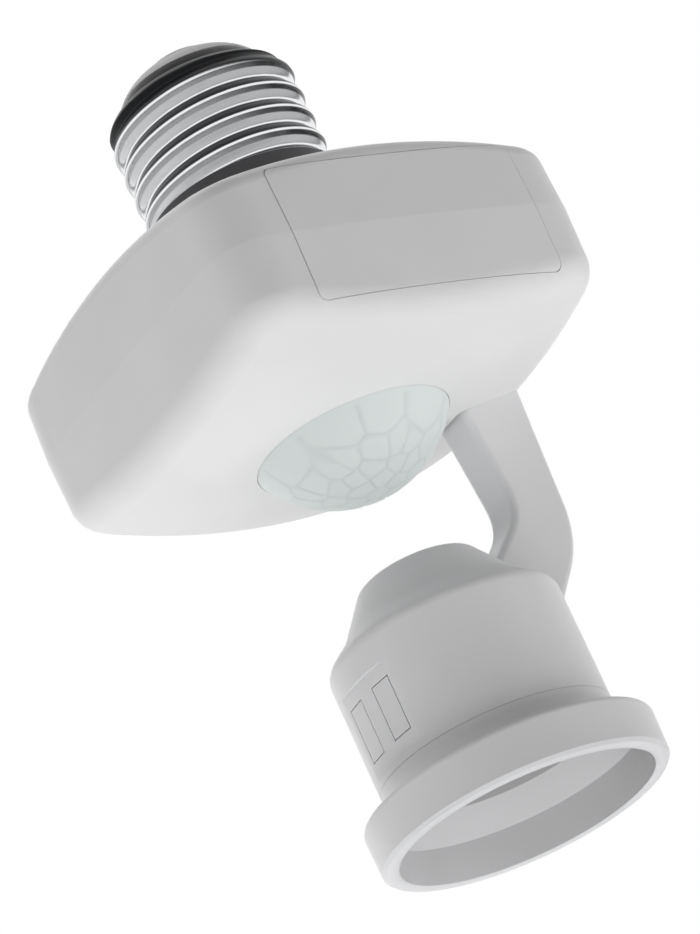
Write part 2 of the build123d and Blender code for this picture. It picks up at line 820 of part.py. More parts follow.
with BuildPart() as shell_rivet:
    with BuildSketch(Plane.XY.offset(base_low - lamp_shell_wall - rivet_head_h)):
        with Locations((rivet_x, 0)):
            Circle(rivet_head_r)
    extrude(amount=rivet_head_h)
    fillet(shell_rivet.edges().group_by(Axis.Z)[0], rivet_edge)
    with BuildSketch(Plane.XY.offset(base_top + terminal_t)):
        with Locations((rivet_x, 0)):
            Circle(rivet_head_r)
    extrude(amount=rivet_head_h)
    with BuildSketch(Plane.XY.offset(base_low - lamp_shell_wall)):
        with Locations((rivet_x, 0)):
            Circle(rivet_r)
    extrude(amount=base_top + terminal_t - base_low + lamp_shell_wall)
save(shell_rivet.part, "shell_rivet")

# Wires: two from the cap to the board, two from the board through the arm to the base
def lamp_wire(way, end, side, bends):
    """A wire from the board down the arm, over the socket base and down to its terminal."""
    points = [(x, side, z) for x, z in arm_wire_way + way]
    start = (arm_wire_way[0][0], side, board_z)
    return wire([start] + points + [end, (end[0], end[1], terminal_top)], bends)


live_supply_start = (0, 0, glass_seat - wire_gap)
live_supply_end = (*live_supply_way[-1][:2], board_top)
live_supply_wire = wire([live_supply_start, *live_supply_way, live_supply_end], live_supply_bends)
save(live_supply_wire, "live_supply_wire")

neutral_supply_start = (neutral_supply_x, *neutral_supply_way[0][1:])
neutral_supply_end = (*neutral_supply_way[-1][:2], board_top)
neutral_supply_route = [neutral_supply_start, *neutral_supply_way, neutral_supply_end]
neutral_supply_wire = wire(neutral_supply_route, neutral_supply_bends)
save(neutral_supply_wire, "neutral_supply_wire")

live_lamp_wire = lamp_wire(live_lamp_way, (live_end_x, 0, live_lamp_z), wire_y, live_lamp_bends)
save(live_lamp_wire, "live_lamp_wire")

neutral_lamp_end = (neutral_end_x, -wire_y, neutral_lamp_z)
neutral_lamp_wire = lamp_wire(neutral_lamp_way, neutral_lamp_end, -wire_y, neutral_lamp_bends)
save(neutral_lamp_wire, "neutral_lamp_wire")
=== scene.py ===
"""Looks of a motion sensor lamp holder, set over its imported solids.

Lengths are metres, in the frame of the solids: the origin is the centre of the lamp mouth on its
rim, +Z runs up the common axis, +X points to the arm and -Y to the wall with the name panel.
"""

from __future__ import annotations

import json
import logging
import math
from dataclasses import dataclass, field
from enum import Enum
from typing import Callable, Iterable, Sequence

import bmesh
import bpy
import numpy as np
from mathutils import Matrix, Vector

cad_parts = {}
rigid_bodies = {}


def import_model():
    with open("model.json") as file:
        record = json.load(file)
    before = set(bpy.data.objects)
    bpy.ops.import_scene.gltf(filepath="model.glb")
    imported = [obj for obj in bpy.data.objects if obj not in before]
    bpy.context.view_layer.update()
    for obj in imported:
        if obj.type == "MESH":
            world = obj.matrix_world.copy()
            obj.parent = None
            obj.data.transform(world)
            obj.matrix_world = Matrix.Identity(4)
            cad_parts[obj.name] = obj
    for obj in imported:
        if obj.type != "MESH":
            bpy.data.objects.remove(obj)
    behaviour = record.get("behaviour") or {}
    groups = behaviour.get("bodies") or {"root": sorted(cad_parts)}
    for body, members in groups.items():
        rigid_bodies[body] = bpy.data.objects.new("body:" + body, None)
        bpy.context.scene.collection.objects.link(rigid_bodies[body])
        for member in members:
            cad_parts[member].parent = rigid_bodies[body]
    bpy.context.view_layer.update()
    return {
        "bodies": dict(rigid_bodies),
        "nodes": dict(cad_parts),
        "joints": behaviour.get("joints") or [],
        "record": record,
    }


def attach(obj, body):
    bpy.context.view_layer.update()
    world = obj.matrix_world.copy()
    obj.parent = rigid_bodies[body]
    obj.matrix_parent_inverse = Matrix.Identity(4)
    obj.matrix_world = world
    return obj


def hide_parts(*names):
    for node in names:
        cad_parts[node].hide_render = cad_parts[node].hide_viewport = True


LOG = logging.getLogger("lamp_holder")
MM = 0.001
Colour = tuple[float, float, float]
Number = float | int


class Axis(Enum):
    """A coordinate that a pattern follows."""

    X = 0
    Y = 1
    Z = 2


class Value:
    """A node socket that takes part in Python expressions."""

    def __init__(self, tree: bpy.types.NodeTree, socket: bpy.types.NodeSocket) -> None:
        """Wraps one output socket of a tree."""
        self.tree = tree
        self.socket = socket

    def _math(self, operation: str, *values: Value | Number) -> Value:
        """Adds a Math node.

        Args:
            operation: The node's operation.
            values: Its inputs, sockets or numbers.

        Returns:
            The node's result.
        """
        node = self.tree.nodes.new("ShaderNodeMath")
        node.operation = operation
        for slot, value in zip(node.inputs, values):
            plug(self.tree, slot, value)
        return Value(self.tree, node.outputs[0])

    def __add__(self, other: Value | Number) -> Value:
        """Sum."""
        return self._math("ADD", self, other)

    def __radd__(self, other: Number) -> Value:
        """Sum with a number on the left."""
        return self._math("ADD", other, self)

    def __sub__(self, other: Value | Number) -> Value:
        """Difference."""
        return self._math("SUBTRACT", self, other)

    def __rsub__(self, other: Number) -> Value:
        """Difference from a number on the left."""
        return self._math("SUBTRACT", other, self)

    def __mul__(self, other: Value | Number) -> Value:
        """Product."""
        return self._math("MULTIPLY", self, other)

    def __rmul__(self, other: Number) -> Value:
        """Product with a number on the left."""
        return self._math("MULTIPLY", other, self)

    def __truediv__(self, other: Value | Number) -> Value:
        """Quotient."""
        return self._math("DIVIDE", self, other)

    def __pow__(self, other: Value | Number) -> Value:
        """Power."""
        return self._math("POWER", self, other)

    def sine(self) -> Value:
        """Sine, in radians."""
        return self._math("SINE", self)

    def arctan2(self, other: Value | Number) -> Value:
        """Angle of the point (other, self)."""
        return self._math("ARCTAN2", self, other)

    def cosine(self) -> Value:
        """Cosine, in radians."""
        return self._math("COSINE", self)

    def above(self, other: Value | Number) -> Value:
        """1 where this is the larger one, and 0 elsewhere."""
        return self._math("GREATER_THAN", self, other)

    def at_least(self, other: Value | Number) -> Value:
        """The larger of the two."""
        return self._math("MAXIMUM", self, other)

    def at_most(self, other: Value | Number) -> Value:
        """The smaller of the two."""
        return self._math("MINIMUM", self, other)

    def smooth_step(self, low: Number, high: Number) -> Value:
        """Rises smoothly from 0 at low to 1 at high.

        Args:
            low: Where the rise starts.
            high: Where it ends.

        Returns:
            The step.
        """
        node = self.tree.nodes.new("ShaderNodeMapRange")
        node.interpolation_type = "SMOOTHSTEP"
        plug(self.tree, node.inputs["Value"], self)
        plug(self.tree, node.inputs["From Min"], low)
        plug(self.tree, node.inputs["From Max"], high)
        return Value(self.tree, node.outputs["Result"])


def plug(
    tree: bpy.types.NodeTree,
    slot: bpy.types.NodeSocket,
    value: Value | Number | Sequence[float] | bpy.types.ID,
) -> None:
    """Links a socket to a value, or sets it.

    Args:
        tree: The tree that holds the socket.
        slot: The input socket.
        value: A node's value, a number, a vector, a colour or a material.
    """
    if isinstance(value, Value):
        tree.links.new(value.socket, slot)
    elif isinstance(value, (int, float, bpy.types.ID)):
        slot.default_value = value
    else:
        size = len(slot.default_value)
        slot.default_value = (*value, 1.0)[:size] if len(value) < size else tuple(value)


class Canvas:
    """A node tree that takes nodes one by one."""

    def __init__(self, tree: bpy.types.NodeTree) -> None:
        """Wraps a tree."""
        self.tree = tree

    def node(
        self,
        kind: str,
        out: str | int = 0,
        settings: dict[str, object] | None = None,
        **inputs: Value | Number | Sequence[float] | bpy.types.ID,
    ) -> Value:
        """Adds any node.

        Args:
            kind: The node's type.
            out: The output that is wanted.
            settings: Its properties, set before its sockets.
            inputs: Its sockets by name, with _ for a space.

        Returns:
            The wanted output.
        """
        node = self.tree.nodes.new(kind)
        for key, setting in (settings or {}).items():
            setattr(node, key, setting)
        for key, value in inputs.items():
            plug(self.tree, node.inputs[key.replace("_", " ")], value)
        return Value(self.tree, node.outputs[out])

    def along(self, place: Value, axis: Axis) -> Value:
        """One coordinate of a point."""
        return self.node("ShaderNodeSeparateXYZ", axis.value, Vector=place)


class Recipe(Canvas):
    """A Geometry Nodes tree with named sizes."""

    def __init__(self, name: str) -> None:
        """Starts an empty tree of that name."""
        super().__init__(bpy.data.node_groups.new(name, "GeometryNodeTree"))
        self.tree.interface.new_socket(
            "Geometry", in_out="OUTPUT", socket_type="NodeSocketGeometry"
        )
        self.source = self.tree.nodes.new("NodeGroupInput")
        self.sink = self.tree.nodes.new("NodeGroupOutput")
        self.sizes: dict[str, Number] = {}

    def size(self, name: str, value: Number) -> Value:
        """Adds a named input.

        Args:
            name: The input's name.
            value: What this piece gives it.

        Returns:
            The input, for use in the tree.
        """
        kind = "NodeSocketInt" if isinstance(value, int) else "NodeSocketFloat"
        item = self.tree.interface.new_socket(name, in_out="INPUT", socket_type=kind)
        self.sizes[item.identifier] = value
        return Value(self.tree, self.source.outputs[name])

    def piece(self, name: str, geometry: Value, material: bpy.types.Material) -> bpy.types.Object:
        """Runs the tree and keeps its result as a plain mesh.

        Args:
            name: The new piece's name.
            geometry: The tree's last geometry.
            material: The piece's finish.

        Returns:
            The piece, at the origin.
        """
        real = self.node("GeometryNodeRealizeInstances", Geometry=geometry)
        dressed = self.node("GeometryNodeSetMaterial", Geometry=real, Material=material)
        self.tree.links.new(dressed.socket, self.sink.inputs[0])
        piece = mesh_piece(name, bpy.data.meshes.new(name))
        modifier = piece.modifiers.new(name, "NODES")
        modifier.node_group = self.tree
        for identifier, value in self.sizes.items():
            modifier[identifier] = value
        graph = bpy.context.evaluated_depsgraph_get()
        mesh = bpy.data.meshes.new_from_object(piece.evaluated_get(graph))
        piece.modifiers.clear()
        piece.data = mesh
        return piece


class Graph(Canvas):
    """A material's node tree with one Principled shader."""

    def __init__(self, name: str) -> None:
        """Starts an empty material of that name."""
        self.material = bpy.data.materials.new(name)
        self.material.use_nodes = True
        super().__init__(self.material.node_tree)
        self.tree.nodes.clear()
        self.shader = self.tree.nodes.new("ShaderNodeBsdfPrincipled")
        output = self.tree.nodes.new("ShaderNodeOutputMaterial")
        self.tree.links.new(self.shader.outputs[0], output.inputs[0])

    def place(self) -> Value:
        """The point on the piece, in object coordinates."""
        return self.node("ShaderNodeTexCoord", "Object")

    def noise(self, place: Value, size: float, detail: float = 2.0, rough: float = 0.5) -> Value:
        """Noise whose lumps have a given size.

        Args:
            place: Where it is read.
            size: Width of a lump in metres.
            detail: Octaves.
            rough: Weight of the fine octaves.

        Returns:
            A value around 0.5.
        """
        return self.node(
            "ShaderNodeTexNoise", Vector=place, Scale=1 / size, Detail=detail, Roughness=rough
        )

    def mix(self, share: Value | Number, low: Value | Colour, high: Value | Colour) -> Value:
        """Mixes two colours.

        Args:
            share: 0 gives low and 1 gives high.
            low: One colour.
            high: The other.

        Returns:
            The mixed colour.
        """
        node = self.tree.nodes.new("ShaderNodeMix")
        node.data_type = "RGBA"
        for slot, value in ((0, share), (6, low), (7, high)):
            plug(self.tree, node.inputs[slot], value)
        return Value(self.tree, node.outputs[2])

    def bump(self, height: Value, depth: float, strength: float = 1.0) -> Value:
        """Turns a height of 0 to 1 into a normal.

        Args:
            height: The height.
            depth: Real depth of a height of 1, in metres.
            strength: Share of the effect.

        Returns:
            The bent normal.
        """
        return self.node("ShaderNodeBump", Height=height, Distance=depth, Strength=strength)

    def set(self, **inputs: Value | Number | Sequence[float]) -> None:
        """Sets or links sockets of the Principled shader, with _ for a space."""
        for key, value in inputs.items():
            plug(self.tree, self.shader.inputs[key.replace("_", " ")], value)


# Finishes.


@dataclass(frozen=True)
class MouldedPlastic:
    """A moulded plastic with a faint spark texture and an uneven gloss."""

    name: str
    colour: Colour
    roughness: float = 0.42
    gloss_swing: float = 0.05
    tone_swing: float = 0.015
    grain: float = 0.00035
    grain_depth: float = 0.000004
    wave_depth: float = 0.00002
    wave: float = 0.009

    def material(self) -> bpy.types.Material:
        """Builds the material."""
        graph = Graph(self.name)
        place = graph.place()
        cloud = graph.noise(place, 0.014, 3.0)
        dark = tuple(c * (1 - self.tone_swing * 2) for c in self.colour)
        uneven = (graph.noise(place, 0.004, 4.0) - 0.5) * self.gloss_swing * 2
        graph.set(
            Base_Color=graph.mix(cloud.smooth_step(0.25, 0.75), dark, self.colour),
            Roughness=self.roughness + uneven,
            IOR=1.49,
        )
        fine = graph.noise(place, self.grain, 2.0, 0.6)
        wave = graph.noise(place, self.wave, 1.0)
        height = fine * (self.grain_depth / self.wave_depth) + wave
        graph.set(Normal=graph.bump(height, self.wave_depth))
        return graph.material


@dataclass(frozen=True)
class MilkyLens:
    """Thin translucent polyethylene; its creases are painted a little deeper in tone than its
    cells, as painted shade.
    """

    name: str
    colour: Colour
    shade: Colour
    roughness: float = 0.4
    crease_painted_shade: float = 0.45
    cloud_tone: float = 0.4

    def material(self) -> bpy.types.Material:
        """Builds the material."""
        graph = Graph(self.name)
        place = graph.place()
        crease = graph.node("ShaderNodeAttribute", "Fac", settings={"attribute_name": "crease"})
        cloud = graph.noise(place, 0.005, 2.0)
        # Painted shade: the creases are mixed towards the darker colour.
        share = (crease * self.crease_painted_shade + (cloud - 0.5) * self.cloud_tone).smooth_step(0.0, 1.0)
        graph.set(
            Base_Color=graph.mix(share, self.colour, self.shade),
            Roughness=self.roughness + (graph.noise(place, 0.0015, 3.0) - 0.5) * 0.12,
            Normal=graph.bump(graph.noise(place, 0.0012, 2.0), 0.00002),
            IOR=1.5,
            Subsurface_Weight=0.3,
            Subsurface_Radius=(0.9, 1.0, 0.97),
            Subsurface_Scale=0.0012,
        )
        return graph.material


@dataclass(frozen=True)
class PlatedMetal:
    """Bright plate on rolled sheet, a little uneven."""

    name: str
    colour: Colour
    dull: Colour
    roughness: float = 0.09
    dull_roughness: float = 0.28
    stain: float = 0.004
    dent_depth: float = 0.00003

    def material(self) -> bpy.types.Material:
        """Builds the material."""
        graph = Graph(self.name)
        place = graph.place()
        stain = graph.noise(place, self.stain, 4.0, 0.6).smooth_step(0.45, 0.8)
        fine = graph.noise(place, 0.0006, 3.0)
        graph.set(
            Base_Color=graph.mix(stain * 0.6, self.colour, self.dull),
            Metallic=1.0,
            Roughness=self.roughness
            + stain * (self.dull_roughness - self.roughness) * 0.35
            + (fine - 0.5) * 0.04,
            Normal=graph.bump(graph.noise(place, 0.0035, 2.0), self.dent_depth),
        )
        return graph.material


@dataclass(frozen=True)
class RolledThread:
    """Nickel plate on a rolled thread, with painted reflections: dark bands for the dark
    surroundings that it mirrors from below.

    The painted dark bands cover each turn's upper flank and the shoulder, and a painted dark streak
    lies under each crest, darker towards one side.
    """

    name: str
    pitch: float
    start: float
    shoulder: float
    bright: Colour = (0.86, 0.87, 0.89)
    dull: Colour = (0.50, 0.52, 0.54)
    # Colour of the painted dark reflections.
    reflection_dark: Colour = (0.012, 0.013, 0.015)
    roughness: float = 0.16
    dark_band_rise: tuple[float, float] = (0.16, 0.5)
    streak_rise: tuple[float, float] = (0.18, 0.42)
    streak_end: tuple[float, float] = (0.02, 0.3)
    side_rise: tuple[float, float] = (-0.35, 0.75)
    streak_turn: float = 0.5
    streak_least: float = 0.35
    specular: float = 0.2

    def material(self) -> bpy.types.Material:
        """Builds the material."""
        graph = Graph(self.name)
        place = graph.place()
        x, y, z = (graph.along(place, axis) for axis in Axis)
        turn = y.arctan2(x)
        phase = (z - self.start) * (2 * math.pi / self.pitch) - turn
        upper, outer = phase.sine(), phase.cosine()
        ragged = (graph.noise(place, 0.0025, 3.0) - 0.5) * 0.25
        # Painted reflection: dark bands on each turn's upper flank, and all over above the
        # shoulder.
        painted_dark_band = (upper + ragged * 0.5).smooth_step(*self.dark_band_rise)
        shoulder = z.smooth_step(self.shoulder - 0.0004, self.shoulder + 0.0001)
        painted_dark_band = painted_dark_band.at_least(shoulder)
        # Painted reflection: a dark streak under each crest, darker towards one side.
        under = (0 - upper).smooth_step(*self.streak_rise) * outer.smooth_step(*self.streak_end)
        side = (turn + self.streak_turn).cosine().smooth_step(*self.side_rise)
        streak = under * (self.streak_least + side * (1 - self.streak_least)) * (0.95 + ragged)
        painted_streak_colour = graph.mix(streak, self.bright, self.reflection_dark)
        cloud = graph.noise(place, 0.004, 4.0, 0.6).smooth_step(0.5, 0.85)
        base = graph.mix(cloud * 0.25, painted_streak_colour, self.dull)
        fine = (graph.noise(place, 0.0006, 3.0) - 0.5) * 0.05
        graph.set(
            Base_Color=graph.mix(painted_dark_band, base, self.reflection_dark),
            Metallic=1 - painted_dark_band.at_least(streak * 0.8),
            Specular_IOR_Level=self.specular,
            Roughness=self.roughness + painted_dark_band * 0.16 + fine,
            Normal=graph.bump(graph.noise(place, 0.0035, 2.0), 0.00002),
        )
        return graph.material


@dataclass(frozen=True)
class DarkGlass:
    """Opaque fused glass with a fire-polished skin, painted as tin above a given height."""

    name: str
    colour: Colour
    tin_from: float
    tin: Colour = (0.46, 0.46, 0.47)
    tin_edge: float = 0.0003
    tin_metal: float = 0.35
    tin_roughness: float = 0.4
    specular: float = 0.2
    roughness: float = 0.08

    def material(self) -> bpy.types.Material:
        """Builds the material."""
        graph = Graph(self.name)
        place = graph.place()
        streak = graph.noise(place, 0.0022, 3.0).smooth_step(0.5, 0.9)
        pale = tuple(c * 3 for c in self.colour)
        height = graph.along(place, Axis.Z)
        tinned = height.smooth_step(self.tin_from, self.tin_from + self.tin_edge)
        fine = (graph.noise(place, 0.001, 3.0) - 0.5) * 0.06
        graph.set(
            Base_Color=graph.mix(tinned, graph.mix(streak, self.colour, pale), self.tin),
            Metallic=tinned * self.tin_metal,
            Roughness=self.roughness + tinned * self.tin_roughness + fine,
            Normal=graph.bump(graph.noise(place, 0.002, 2.0), 0.00006),
            IOR=1.52,
            Specular_IOR_Level=self.specular,
        )
        return graph.material


@dataclass(frozen=True)
class PlainBody:
    """A component body, a board or a wire sleeve with a fine grain."""

    name: str
    colour: Colour
    roughness: float = 0.5
    metal: float = 0.0
    grain: float = 0.0008

    def material(self) -> bpy.types.Material:
        """Builds the material."""
        graph = Graph(self.name)
        place = graph.place()
        cloud = graph.noise(place, self.grain * 4, 3.0)
        dark = tuple(c * 0.86 for c in self.colour)
        graph.set(
            Base_Color=graph.mix(cloud, dark, self.colour),
            Metallic=self.metal,
            Roughness=self.roughness + (graph.noise(place, self.grain, 2.0) - 0.5) * 0.1,
            Normal=graph.bump(graph.noise(place, self.grain, 3.0), 0.00002),
        )
        return graph.material


# Helpers for meshes.


def mesh_piece(name: str, mesh: bpy.types.Mesh) -> bpy.types.Object:
    """Puts a mesh in the scene at the origin."""
    piece = bpy.data.objects.new(name, mesh)
    bpy.context.scene.collection.objects.link(piece)
    return piece


def turned_mesh(
    name: str, rows: int, columns: int, point: Callable[[int, int], Vector]
) -> bpy.types.Mesh:
    """Builds a closed surface of rings, with its poles and its first and last ring merged.

    Args:
        name: The mesh's name.
        rows: Rings along the surface.
        columns: Points round each ring.
        point: Gives the place of row and column.

    Returns:
        The smooth mesh, whose faces point outwards.
    """
    mesh = bpy.data.meshes.new(name)
    places = [point(row, column) for row in range(rows) for column in range(columns)]
    faces = [
        (
            row * columns + column,
            row * columns + (column + 1) % columns,
            (row + 1) * columns + (column + 1) % columns,
            (row + 1) * columns + column,
        )
        for row in range(rows - 1)
        for column in range(columns)
    ]
    mesh.from_pydata(places, [], faces)
    close_up(mesh)
    return mesh


def close_up(mesh: bpy.types.Mesh, sharp: float = 40.0) -> None:
    """Merges doubles, turns the faces out and smooths between sharp edges.

    Args:
        mesh: The mesh that is changed.
        sharp: Least angle of an edge that stays sharp, in degrees.
    """
    shape = bmesh.new()
    shape.from_mesh(mesh)
    bmesh.ops.remove_doubles(shape, verts=shape.verts, dist=1e-7)
    bmesh.ops.dissolve_degenerate(shape, edges=shape.edges, dist=1e-8)
    bmesh.ops.recalc_face_normals(shape, faces=shape.faces)
    shape.to_mesh(mesh)
    shape.free()
    mesh.shade_smooth()
    mesh.set_sharp_from_angle(angle=math.radians(sharp))


def dress(piece: bpy.types.Object, material: bpy.types.Material) -> None:
    """Gives a piece one material."""
    piece.data.materials.clear()
    piece.data.materials.append(material)


# Sub-assemblies.


@dataclass
class SubAssembly:
    """A group of pieces that shares a frame and a body."""

    frame: dict
    body: str = "holder"
    made: list[str] = field(default_factory=list)

    def skin(self, node: str, material: bpy.types.Material) -> None:
        """Gives a solid its finish.

        Args:
            node: The solid's name.
            material: Its finish.
        """
        piece = self.frame["nodes"][node]
        dress(piece, material)
        self.made.append(piece.name)

    def settle(
        self,
        piece: bpy.types.Object,
        material: bpy.types.Material,
        body: str,
        *nodes: str,
    ) -> None:
        """Dresses a piece, lets it ride and hides the solids that it stands for.

        Args:
            piece: The piece.
            material: Its finish.
            body: The body that carries it.
            nodes: The solids that it replaces, if any.
        """
        dress(piece, material)
        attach(piece, body)
        if nodes:
            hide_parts(*nodes)
            self.slot_of(nodes[0])
        self.made.append(piece.name)

    def slot_of(self, node: str) -> str:
        """The record's material slot of a solid.

        Args:
            node: The solid's name.

        Returns:
            The slot, or the solid's name where the record has none.
        """
        for row in self.frame["record"]["subparts"]:
            if row["node"] == node:
                return row["material_slot"]
        return node

    def build(self) -> None:
        """Builds the group's pieces."""
        raise NotImplementedError


@dataclass
class KnuckleThread:
    """A thin rolled shell whose side is a round thread with broad crests and narrow roots."""

    crest_r: float
    half_depth: float
    wall: float
    low: float
    high: float
    round_start: float
    round_mid: tuple[float, float]
    top_r: float
    pitch: float = 3.6 * MM
    crest_width: float = 0.78
    columns: int = 192
    rows_per_turn: int = 24

    def round_over(self) -> tuple[Vector, float]:
        """Centre and radius of the arc that rounds the shell over at its top."""
        a = Vector((self.top_r, self.high))
        b = Vector(self.round_mid)
        c = Vector((self.crest_r, self.round_start))
        d = 2 * (a.x * (b.y - c.y) + b.x * (c.y - a.y) + c.x * (a.y - b.y))
        aa, bb, cc = a.length_squared, b.length_squared, c.length_squared
        centre = Vector(
            (
                (aa * (b.y - c.y) + bb * (c.y - a.y) + cc * (a.y - b.y)) / d,
                (aa * (c.x - b.x) + bb * (a.x - c.x) + cc * (b.x - a.x)) / d,
            )
        )
        return centre, (a - centre).length

    def build(self, name: str, material: bpy.types.Material) -> bpy.types.Object:
        """Rolls the shell: its section runs up the outside and down the inside.

        Args:
            name: The new piece's name.
            material: Its finish.

        Returns:
            The piece, at the origin.
        """
        recipe = Recipe(name)
        rows = int((self.high - self.low) / self.pitch * self.rows_per_turn)
        count = recipe.size("Rows", rows)
        columns = recipe.size("Columns", self.columns)
        pitch = recipe.size("Pitch", self.pitch)
        crest = recipe.size("Crest radius", self.crest_r)
        depth = recipe.size("Half depth", self.half_depth)
        wall = recipe.size("Wall", self.wall)
        low = recipe.size("Low end", self.low)
        high = recipe.size("High end", self.high)
        width = recipe.size("Crest width", self.crest_width)
        centre, radius = self.round_over()
        round_start = recipe.size("Round start", self.round_start)
        round_r = recipe.size("Round radius", radius)
        round_x = recipe.size("Round centre across", centre.x)
        round_z = recipe.size("Round centre up", centre.y)

        grid = recipe.node(
            "GeometryNodeMeshGrid",
            Size_X=1.0,
            Size_Y=1.0,
            Vertices_X=count * 2 + 3,
            Vertices_Y=columns + 1,
        )
        place = recipe.node("GeometryNodeInputPosition")
        row = (recipe.along(place, Axis.X) + 0.5) * (count * 2 + 2)
        angle = (recipe.along(place, Axis.Y) + 0.5) * (2 * math.pi)
        down = row.above(count + 0.5)
        closing = row.above(count * 2 + 1.5)
        share = (row * (1 - down) + (count * 2 + 1 - row) * down).at_least(0.0) / count
        height = low + (high - low) * share
        inset = wall * (down - closing)
        phase = (height - low) * (2 * math.pi) / pitch - angle
        wave = ((phase.cosine() + 1).at_least(0.0) * 0.5) ** width * 2 - 1
        reach = crest - depth + depth * wave
        over = height.above(round_start)
        rise = height - round_z
        arc = round_x + (round_r * round_r - rise * rise).at_least(0.0) ** 0.5
        limit = crest * (1 - over) + arc * over
        reach = reach.at_most(limit) - inset
        spot = recipe.node(
            "ShaderNodeCombineXYZ", X=reach * angle.cosine(), Y=reach * angle.sine(), Z=height
        )
        moved = recipe.node("GeometryNodeSetPosition", Geometry=grid, Position=spot)
        merged = recipe.node("GeometryNodeMergeByDistance", Geometry=moved, Distance=1e-6)
        piece = recipe.piece(name, merged, material)
        close_up(piece.data, 50.0)
        return piece


@dataclass
class ScrewCap(SubAssembly):
    """The screw shell, its glass insulator and its end contact."""

    crest_r: float = 13.2 * MM
    half_depth: float = 0.52 * MM
    wall: float = 0.4 * MM
    bottom: float = 92.4 * MM
    round_start: float = 105.9 * MM
    round_mid: tuple[float, float] = (12.6 * MM, 107.8 * MM)
    top: float = 109.1 * MM
    top_r: float = 10.9 * MM
    neck_r: float = 13.0 * MM
    neck_low: float = 85.75 * MM
    neck_high: float = 92.3 * MM
    band: float = 0.06 * MM
    band_columns: int = 128
    tin_from: float = 110.4 * MM

    def neck_shade_band(self) -> bpy.types.Mesh:
        """A thin dark band round the neck between the housing and the shell, as painted shade where
        the neck lies in shade.
        """
        outer, inner = self.neck_r + self.band, self.neck_r - self.band
        section = [
            (outer, self.neck_low),
            (outer, self.neck_high - self.band),
            (self.neck_r, self.neck_high),
            (inner, self.neck_high - self.band),
            (inner, self.neck_low),
            (outer, self.neck_low),
        ]

        def point(row: int, column: int) -> Vector:
            """Place of a row and a column."""
            radius, height = section[row]
            angle = 2 * math.pi * column / self.band_columns
            return Vector((radius * math.cos(angle), radius * math.sin(angle), height))

        return turned_mesh("neck_shade_band", len(section), self.band_columns, point)

    def build(self) -> None:
        """Builds the group's pieces."""
        thread = KnuckleThread(
            crest_r=self.crest_r,
            half_depth=self.half_depth,
            wall=self.wall,
            low=self.bottom,
            high=self.top,
            round_start=self.round_start,
            round_mid=self.round_mid,
            top_r=self.top_r,
        )
        nickel = RolledThread(
            "nickel thread", thread.pitch, self.bottom, self.round_start
        ).material()
        shell = thread.build("screw_shell_thread", nickel)
        self.settle(shell, nickel, self.body, "screw_shell")
        # A dark sheet over the neck: painted shade.
        band = mesh_piece("neck_shade_band", self.neck_shade_band())
        self.settle(band, PlainBody("neck painted shade", (0.055, 0.055, 0.06), 0.45).material(), self.body)
        glass = DarkGlass("black glass", (0.003, 0.003, 0.0035), self.tin_from).material()
        self.skin("cap_insulator", glass)
        tin = PlainBody("tinned contact", (0.46, 0.46, 0.47), 0.5, 0.35).material()
        self.skin("cap_contact", tin)


